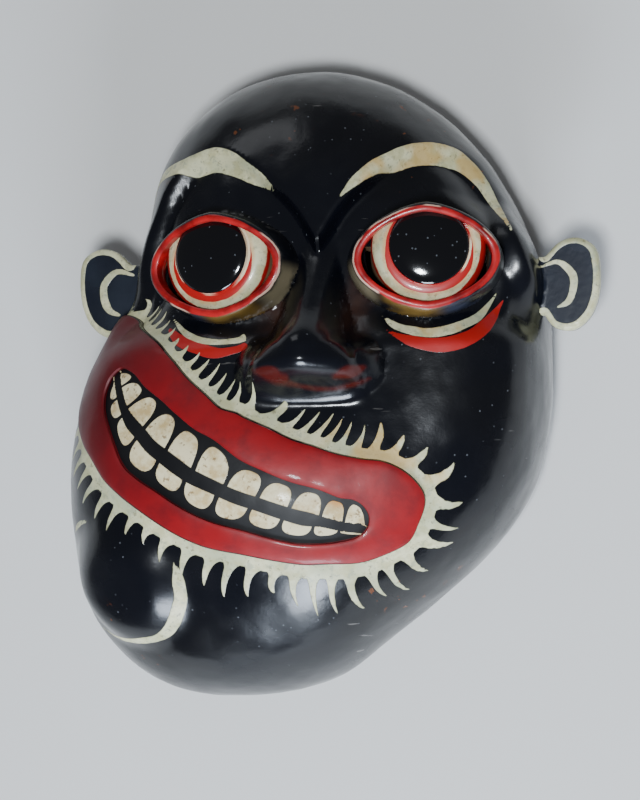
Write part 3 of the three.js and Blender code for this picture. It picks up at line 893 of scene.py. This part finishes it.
lacquer = dict(
    colour=(0.003, 0.0036, 0.0065), warmer=(0.004, 0.004, 0.005), worn=(0.05, 0.035, 0.018),
    dust=(0.25, 0.27, 0.3), scratch=(0.2, 0.19, 0.18), chip=(0.18, 0.05, 0.012), scratchTurn=0.5,
    scratchScale=(60.0, 460.0, 90.0), roughness=0.17, roughnessSpread=0.12, coat=0.12, shine=0.38,
)


def blackLacquer(n):
    base = n.mix(n.patches(14, 3, 0.4, 0.7), lacquer["colour"], lacquer["warmer"])
    base = n.lay(base, lacquer["worn"], n.patches(30, 6, 0.6, 0.8, 0.65), 0.05)
    dust = n.times(n.speckle(260, 0.11), n.patches(70, 2, 0.42, 0.6))
    base = n.lay(base, lacquer["dust"], dust, 0.35)
    alongScratch = n.stretched(lacquer["scratchScale"], (0.0, 0.0, lacquer["scratchTurn"]))
    scratch = n.times(n.ramp(n.noise(1.0, 2, alongScratch), 0.7, 0.73), n.patches(22, 3, 0.5, 0.6))
    base = n.lay(base, lacquer["scratch"], scratch, 0.5)
    chipped = n.times(n.patches(230, 3, 0.67, 0.7), n.patches(16, 2, 0.57, 0.64))
    return n.lay(base, lacquer["chip"], chipped, 0.7)


def fringeMask(n):
    # spikes counted along the lip line, each bent, tapered and of its own length
    spike, out, past = n.fields("fringe")
    wobble = n.wobble(110, 3)
    band = n.inside(n.plus(past, n.times(wobble, fringe["ragged"])), 0.0, 0.15)
    counted = n.plus(spike, 40.0)
    luck = n.luck(n.math("FLOOR", counted))
    offMiddle = fringe["offMiddle"]
    middle = n.math("MULTIPLY_ADD", luck, offMiddle, 0.5 - offMiddle / 2)
    fromMiddle = n.gap(n.math("FRACT", counted), middle)
    fromMiddle = n.plus(fromMiddle, n.times(wobble, 0.06))
    share = n.math("DIVIDE", out, n.math("MULTIPLY_ADD", luck, fringe["reachLuck"], fringe["reachLow"]))
    left = n.math("MAXIMUM", n.minus(1.0, share), 0.0)
    width = n.times(n.math("POWER", left, fringe["taper"]), fringe["spikeHalf"])
    flare = n.times(n.math("POWER", left, fringe["flareTaper"]), fringe["footFlare"])
    spikes = n.ramp(n.minus(n.plus(width, flare), fromMiddle), -0.02, 0.02)
    spikes = n.times(spikes, n.ramp(share, 0.97, 1.0, 1.0, 0.0))
    outsideLip = n.inside(n.times(n.field("lipField"), -1.0), 0.0, 0.1)
    return n.times(n.math("MAXIMUM", band, spikes), outsideLip)


def toothMask(n):
    # each tooth is flat at the bite and round at the gum
    number, height = n.fields("teeth")[:2]
    fromMiddle = n.gap(n.math("FRACT", number), 0.5)
    fromMiddle = n.plus(fromMiddle, n.wobble(75, 2, 0.05))
    across = n.math("POWER", n.math("DIVIDE", fromMiddle, tooth["half"]), tooth["sidePower"])
    start = tooth["crownStart"]
    crown = n.math("DIVIDE", n.math("MAXIMUM", n.minus(height, start), 0.0), 1 - start)
    rounded = n.plus(across, n.math("POWER", crown, tooth["crownPower"]))
    return n.times(n.ramp(rounded, 0.94, 1.06, 1.0, 0.0), n.ramp(height, -0.02, 0.03))


def toothColour(n):
    # every tooth has its own shade, and one in the upper row an orange stain
    number, height, side = n.fields("teeth")
    index = n.math("FLOOR", number)
    luck = n.luck(n.math("MULTIPLY_ADD", side, 50.0, index))
    colour = n.lay(tooth["colour"], tooth["pale"], luck, 0.35)
    colour = n.lay(colour, tooth["mottle"], n.patches(130, 5, 0.42, 0.68, 0.65))
    stained = n.times(n.math("COMPARE", index, tooth["stainedTooth"], 0.4), n.ramp(side, -0.5, 0.5))
    stained = n.times(stained, n.ramp(height, 0.45, 0.95))
    colour = n.lay(colour, tooth["stain"], stained, 0.8)
    return n.lay(colour, tooth["speck"], n.patches(330, 3, 0.59, 0.67, 0.7), 0.7)


facePaint = dict(
    red=(0.42, 0.006, 0.005), lipRed=(0.3, 0.003, 0.007), lipDark=(0.09, 0.003, 0.006), lipLine=0.35,
    # the nose's brown is a painted sheen on its flanks
    ochre=(0.62, 0.34, 0.05), nostril=(0.07, 0.005, 0.003), noseBrownSheen=(0.035, 0.014, 0.009),
    mouth=(0.004, 0.004, 0.005), rise=0.45, matt=0.25,
)


def warmCream(n, skinX, skinY):
    # the cream is yellower in places on the right
    warm = n.times(n.ramp(skinX, 4.0, 20.0), n.ramp(skinY, -46.0, -36.0), n.patches(85, 2, 0.42, 0.62))
    return n.lay(creamPaint(n), facePaint["ochre"], warm, 0.6)


def nosePaint(n, colour, skinX, skinY, wobble):
    # a painted brown sheen on the flanks of the nose, dark red in and under the nostrils
    fromRidge = n.gap(skinX, 6.0)
    # painted sheen: brown on the nose's flanks
    brown = n.times(n.ramp(fromRidge, 8.0, 13.0), n.ramp(fromRidge, 17.0, 25.0, 1.0, 0.0))
    brown = n.times(brown, n.ramp(skinY, 8.0, 18.0), n.ramp(skinY, 40.0, 28.0))
    colour = n.lay(colour, facePaint["noseBrownSheen"], n.times(brown, n.patches(50, 4, 0.35, 0.7)))
    darkRed = n.inside(n.plus(n.field("noseField"), wobble), 0.0, 0.9)
    return n.lay(colour, facePaint["nostril"], darkRed, 0.85)


def lipPaint(n, colour, skinX):
    # painted shade: dark at the left end and red at the right, inside a black line
    outside, line = n.field("lipField"), facePaint["lipLine"]
    # painted shade darkening the lips towards their left end
    shadeToLeft = n.ramp(n.plus(skinX, n.times(n.noise(60, 3), 30.0)), -75.0, 5.0)
    red = n.mix(shadeToLeft, facePaint["lipDark"], facePaint["lipRed"])
    red = n.lay(red, facePaint["lipDark"], n.patches(90, 5, 0.4, 0.7, 0.6), 0.5)
    onLips = n.inside(outside, -line, 0.1)
    blackLine = n.times(n.inside(n.times(outside, -1.0), line, 0.1), n.inside(outside, 0.0, 0.1))
    colour = n.lay(colour, red, n.math("MAXIMUM", onLips, blackLine))
    return n.lay(colour, lacquer["colour"], blackLine), onLips


def faceMaterial():
    n = Nodes("lacqueredFace")
    skinX, skinY = n.fields("skinPlace")[:2]
    wobble = n.wobble(110, 3, 0.9)
    colour = nosePaint(n, blackLacquer(n), skinX, skinY, wobble)
    redMask = n.inside(n.plus(n.field("redField"), wobble))
    colour = n.lay(colour, facePaint["red"], redMask)
    creamMask = n.inside(n.plus(n.field("creamField"), wobble))
    creamMask = n.math("MAXIMUM", creamMask, fringeMask(n))
    colour = n.lay(colour, warmCream(n, skinX, skinY), creamMask)
    colour, onLips = lipPaint(n, colour, skinX)
    inMouth = n.inside(n.field("mouthField"))
    colour = n.lay(colour, facePaint["mouth"], inMouth)
    teeth = n.times(toothMask(n), inMouth)
    colour = n.lay(colour, toothColour(n), teeth)
    painted = n.math("MAXIMUM", n.math("MAXIMUM", creamMask, redMask), teeth)
    brush = n.noise(420, 4, roughness=0.6)
    height = n.plus(n.times(painted, facePaint["rise"]), n.times(brush, 0.3))
    height = n.plus(height, n.times(n.noise(60, 3), 0.7))
    matt = n.times(n.math("MAXIMUM", painted, onLips), facePaint["matt"])
    low = lacquer["roughness"]
    rough = n.plus(n.ramp(n.noise(45, 4), 0.3, 0.7, low, low + lacquer["roughnessSpread"]), matt)
    return n.finish(colour, rough, height, coat=lacquer["coat"], shine=lacquer["shine"])


lidPaint = dict(
    olive=(0.13, 0.075, 0.015), slate=(0.025, 0.03, 0.05), wornPatch=(0.3, 0.25, 0.15),
    crestDark=(0.17, 0.004, 0.005), crestRed=(0.5, 0.012, 0.014), wallRed=(0.32, 0.012, 0.012),
    # the deep wall red and the umber are painted shade, in the socket and under the upper lid
    wallShade=(0.13, 0.006, 0.006), umber=(0.14, 0.1, 0.065), chip=(0.75, 0.5, 0.38),
    roughness=0.26, roughest=0.42,
)


def lidShade(n, colour, y, towardNose, edge):
    # olive and slate under the eye, and a worn patch beside the nose
    low = n.times(n.ramp(y, -11.0, -16.0), n.ramp(towardNose, 21.0, 13.0))
    patchy = n.patches(60, 3, 0.3, 0.6)
    olive = n.times(low, n.ramp(towardNose, -14.0, 2.0), patchy)
    colour = n.lay(colour, lidPaint["olive"], olive)
    slate = n.times(low, n.ramp(towardNose, 0.0, -10.0), patchy)
    colour = n.lay(colour, lidPaint["slate"], slate)
    patch = n.inside(n.gap(edge, 2.9), 0.8, 0.3)
    patch = n.times(patch, n.ramp(towardNose, 16.0, 22.0), n.ramp(y, 2.0, -4.0))
    return n.lay(colour, lidPaint["wornPatch"], patch, 0.6)


def lidWall(n, colour, out, level, y, wobble):
    # the wall round the ball: painted shade darkening the red deeper into the socket, a broken pale line, and
    # umber painted shade at the top under the lid
    wall = n.inside(n.plus(out, n.times(wobble, 0.6)), -1.3, 0.2)
    # painted shade: darker red deeper into the socket
    socketShade = n.ramp(level, 0.0, 4.5, 1.0, 0.0)
    colour = n.lay(colour, n.mix(socketShade, lidPaint["wallRed"], lidPaint["wallShade"]), wall)
    line = n.inside(n.math("ABSOLUTE", n.plus(n.minus(level, 3.2), wobble)), 0.4, 0.15)
    line = n.times(line, wall, n.patches(40, 2, 0.44, 0.5))
    colour = n.lay(colour, lidPaint["chip"], line, 0.7)
    # painted shade in umber at the top of the wall, under the upper lid
    return n.lay(colour, lidPaint["umber"], n.times(wall, n.ramp(y, 6.0, 13.0)))


def lidChips(n, colour, y, towardNose, edge, redEnd):
    # broken pale lines on both edges of the red, more of them near the nose
    chipPlace = n.plus(n.noise(46, 2), n.times(n.ramp(towardNose, 6.0, 20.0), 0.12))
    chipPlace = n.plus(chipPlace, n.times(n.ramp(y, -3.0, 5.0), 0.04))
    outerLine = n.inside(n.gap(edge, redEnd), 0.3, 0.12)
    innerLine = n.inside(n.math("ABSOLUTE", n.plus(edge, 1.8)), 0.22, 0.1)
    chips = n.times(n.math("MAXIMUM", outerLine, innerLine), n.ramp(chipPlace, 0.6, 0.66))
    return n.lay(colour, lidPaint["chip"], chips, 0.85)


def lidMaterial():
    n = Nodes("rolledLids")
    out, level, side = n.fields("lidPlace")
    x, y = n.fields("eyePlace")[:2]
    towardNose = n.times(x, side, -1.0)
    wobble = n.wobble(130, 4, 1.4)
    edge = n.plus(out, wobble)
    colour = lidShade(n, blackLacquer(n), y, towardNose, edge)
    crestRed = n.mix(n.patches(120, 4, 0.35, 0.65), lidPaint["crestDark"], lidPaint["crestRed"])
    redEnd = n.math("MULTIPLY_ADD", n.ramp(y, 4.0, 12.0), -0.5, 1.5)
    colour = n.lay(colour, crestRed, n.inside(n.minus(edge, redEnd), 0.0, 0.2))
    colour = lidWall(n, colour, out, level, y, wobble)
    colour = lidChips(n, colour, y, towardNose, edge, redEnd)
    height = n.plus(n.times(n.noise(300, 4), 0.5), n.noise(70, 3))
    rough = n.ramp(n.noise(60, 3), 0.3, 0.7, lidPaint["roughness"], lidPaint["roughest"])
    return n.finish(colour, rough, height, coat=lacquer["coat"], shine=lacquer["shine"])


ballPaint = dict(
    shade=(0.13, 0.1, 0.07), blush=(0.75, 0.33, 0.1), outerRed=(0.36, 0.012, 0.01), chip=(0.82, 0.68, 0.46),
    black=(0.002, 0.002, 0.003), dust=(0.2, 0.22, 0.25), roughness=0.35, pupilRoughness=0.09, coat=0.3,
    redRing=0.9, redRingLow=2.0,
)


def ballWhite(n, up, reach, low):
    # cream outside a red ring, shaded under the upper lid
    redEdge = eye["irisRadius"] + ballPaint["redRing"]
    pastRed = n.minus(reach, n.math("MULTIPLY_ADD", low, ballPaint["redRingLow"], redEdge))
    cream = n.lay(creamPaint(n), ballPaint["shade"], n.ramp(up, 8.0, 15.0), 0.75)
    blush = n.times(n.ramp(pastRed, 0.2, 1.8, 1.0, 0.0), n.patches(80, 3, 0.35, 0.6))
    cream = n.lay(cream, ballPaint["blush"], blush, 0.6)
    return n.mix(n.ramp(pastRed, -0.12, 0.12), facePaint["red"], cream)


def ballMaterial():
    n = Nodes("eyeBalls")
    x, y = n.fields("eyePlace")[:2]
    side = n.fields("lidPlace")[2]
    across = n.minus(x, n.times(side, eye["ballOut"]))
    up = n.minus(y, eye["ballUp"])
    radius = n.math("SQRT", n.plus(n.times(across, across), n.times(up, up)))
    wobble = n.wobble(150, 3)
    reach = n.plus(radius, n.times(wobble, 0.9))
    low = n.ramp(n.math("DIVIDE", up, radius), 0.3, -0.8)
    colour = ballWhite(n, up, reach, low)
    temple = n.math("MAXIMUM", n.times(across, side), 0.0)
    rim = n.math("MULTIPLY_ADD", temple, -0.09, eye["ballRadius"] - 0.5)
    colour = n.lay(colour, ballPaint["outerRed"], n.ramp(n.minus(reach, rim), -0.12, 0.12))
    chipHalf = n.math("MULTIPLY_ADD", low, -0.25, 0.6)
    offLine = n.gap(reach, eye["irisRadius"] + 0.3)
    chip = n.times(n.inside(n.minus(offLine, chipHalf), 0.0, 0.1), n.patches(30, 2, 0.42, 0.47))
    colour = n.lay(colour, ballPaint["chip"], chip)
    pupil = n.inside(n.plus(radius, n.times(wobble, 0.3)), eye["irisRadius"] - 0.1, 0.08)
    black = n.lay(ballPaint["black"], ballPaint["dust"], n.speckle(300, 0.12, (3.0, 1.0, 2.0)), 0.4)
    colour = n.lay(colour, black, pupil)
    rough = n.mixValue(pupil, ballPaint["roughness"], ballPaint["pupilRoughness"])
    height = n.plus(n.times(n.noise(260, 4), 0.35), n.times(n.noise(70, 2), 0.6))
    return n.finish(colour, rough, height, strength=0.3, coat=ballPaint["coat"])


earPaint = dict(navy=(0.006, 0.009, 0.018), paler=(0.016, 0.022, 0.035), roughness=0.26, creamRoughness=0.45)


def earMaterial():
    n = Nodes("ears")
    wobble = n.wobble(120, 3, 1.2)
    edge = n.plus(n.field("earField"), wobble)
    stroke = n.plus(n.field("earStroke"), wobble)
    navy = n.mix(n.patches(50, 4, 0.35, 0.7), earPaint["navy"], earPaint["paler"])
    level = n.add("ShaderNodeSeparateXYZ", {0: n.place}).outputs[2]
    front = n.ramp(level, millimetre * (ears["level"] - 2), millimetre * ears["level"])
    cream = n.times(n.math("MAXIMUM", n.inside(edge, ears["border"]), n.inside(stroke)), front)
    colour = n.lay(navy, creamPaint(n), cream)
    rough = n.mixValue(cream, earPaint["roughness"], earPaint["creamRoughness"])
    height = n.plus(n.times(n.noise(300, 4), 0.4), n.times(cream, 0.4))
    return n.finish(colour, rough, height, coat=lacquer["coat"])


bareWood = dict(
    light=(0.36, 0.22, 0.11), dark=(0.2, 0.11, 0.05), dirt=(0.07, 0.045, 0.025), roughness=0.75,
    grainScale=(60.0, 9.0, 60.0),
)


def woodMaterial():
    n = Nodes("bareWood")
    grain = n.noise(4, 6, n.stretched(bareWood["grainScale"]), 0.6)
    colour = n.mix(n.ramp(grain, 0.3, 0.7), bareWood["dark"], bareWood["light"])
    colour = n.lay(colour, bareWood["dirt"], n.patches(25, 5, 0.45, 0.75, 0.65), 0.45)
    height = n.plus(n.times(grain, 0.6), n.times(n.noise(180, 4), 0.3))
    return n.finish(colour, bareWood["roughness"], height, strength=0.5, distance=0.0006)


def bareRim(piece):
    # the flat rim is left as bare wood, like the inside
    for face in piece.data.polygons:
        if face.normal.z < -0.9 and face.center.z < 0.5:
            face.material_index = slots.index("bareWood")


stage = dict(
    floor=(0.8, 0.79, 0.77), floorSize=4, floorGap=0.0003, floorRoughness=0.75, aim=(0, 0, 0.05),
    room=(0.75, 0.78, 0.82), roomStrength=0.17,
)
lamps = dict(
    softTop=dict(place=(-0.7, 1.8, 0.8), size=0.8, power=3, colour=(0.93, 0.96, 1)),
    flash=dict(place=(0.14, -0.2, 1.15), size=0.14, power=12, colour=(0.88, 0.94, 1)),
    lowFill=dict(place=(0.1, -1.25, 0.55), size=0.45, power=22, colour=(0.76, 0.86, 1)),
)
view = dict(turn=12, below=3, roll=1.2, distance=1.0, lens=117.2, target=(-0.0042, -0.0083, 0.05))


def makeFloor():
    bm = bmesh.new()
    bmesh.ops.create_grid(bm, x_segments=1, y_segments=1, size=stage["floorSize"] / 2)
    bmesh.ops.translate(bm, verts=bm.verts[:], vec=(0, 0, -stage["floorGap"]))
    mesh = bpy.data.meshes.new("floor")
    bm.to_mesh(mesh)
    bm.free()
    mesh.materials.append(Nodes("paleFloor").finish(stage["floor"], stage["floorRoughness"]))
    floor = bpy.data.objects.new("floor", mesh)
    bpy.context.scene.collection.objects.link(floor)


def areaLight(name, place, size, power, colour):
    data = bpy.data.lights.new(name, "AREA")
    data.size = size
    data.energy = power
    data.color = colour
    lamp = bpy.data.objects.new(name, data)
    bpy.context.scene.collection.objects.link(lamp)
    lamp.location = place
    lamp.rotation_mode = "QUATERNION"
    lamp.rotation_quaternion = (Vector(stage["aim"]) - Vector(place)).to_track_quat("-Z", "Y")


def lightStage():
    for name, lamp in lamps.items():
        areaLight(name, **lamp)
    world = bpy.data.worlds.new("softRoom")
    world.use_nodes = True
    room = world.node_tree.nodes["Background"]
    room.inputs["Color"].default_value = (*stage["room"], 1)
    room.inputs["Strength"].default_value = stage["roomStrength"]
    bpy.context.scene.world = world


def makeCamera():
    turn, below, roll = (math.radians(view[name]) for name in ("turn", "below", "roll"))
    back = Vector((math.sin(turn) * math.cos(below), -math.sin(below), math.cos(turn) * math.cos(below)))
    right = Vector((math.cos(turn), 0, -math.sin(turn)))
    up = back.cross(right)
    rolledRight = right * math.cos(roll) - up * math.sin(roll)
    rolledUp = right * math.sin(roll) + up * math.cos(roll)
    data = bpy.data.cameras.new("camera")
    data.lens = view["lens"]
    camera = bpy.data.objects.new("camera", data)
    bpy.context.scene.collection.objects.link(camera)
    place = Vector(view["target"]) + back * view["distance"]
    facing = Matrix((rolledRight, rolledUp, back)).transposed().to_4x4()
    camera.matrix_world = Matrix.Translation(place) @ facing
    bpy.context.scene.camera = camera


def meshPoints(mesh):
    points = np.zeros(3 * len(mesh.vertices), np.float32)
    mesh.vertices.foreach_get("co", points)
    return points.reshape(-1, 3).astype(float)


def layOnNode(piece, points):
    # from millimetres to metres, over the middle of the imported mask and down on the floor
    middle = (points.min(0) + points.max(0)) / 2
    nodeMiddle = (nodeLow + nodeHigh) / 2
    foot = Vector((middle[0], middle[1], points[:, 2].min()))
    shift = Vector((nodeMiddle.x, nodeMiddle.y, 0)) - foot * millimetre
    piece.data.transform(Matrix.Translation(shift) @ Matrix.Scale(millimetre, 4))
    piece.data.polygons.foreach_set("use_smooth", [True] * len(piece.data.polygons))
    piece.data.set_sharp_from_angle(angle=math.radians(seams["sharpAngle"]))


materials = dict(
    lacqueredFace=faceMaterial(), bareWood=woodMaterial(), rolledLids=lidMaterial(), eyeBalls=ballMaterial(),
    ears=earMaterial(),
)
print("materials made")
mask = carveMask()
print("mask carved:", len(mask.data.vertices), "points,", len(mask.data.polygons), "faces")
softenSeams(mask)
points = meshPoints(mask.data)
paintFields(mask, points)
bareRim(mask)
layOnNode(mask, points)
print("paint laid on")
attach(mask, "root")
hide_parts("mask")
makeFloor()
lightStage()
makeCamera()
print("stage set")
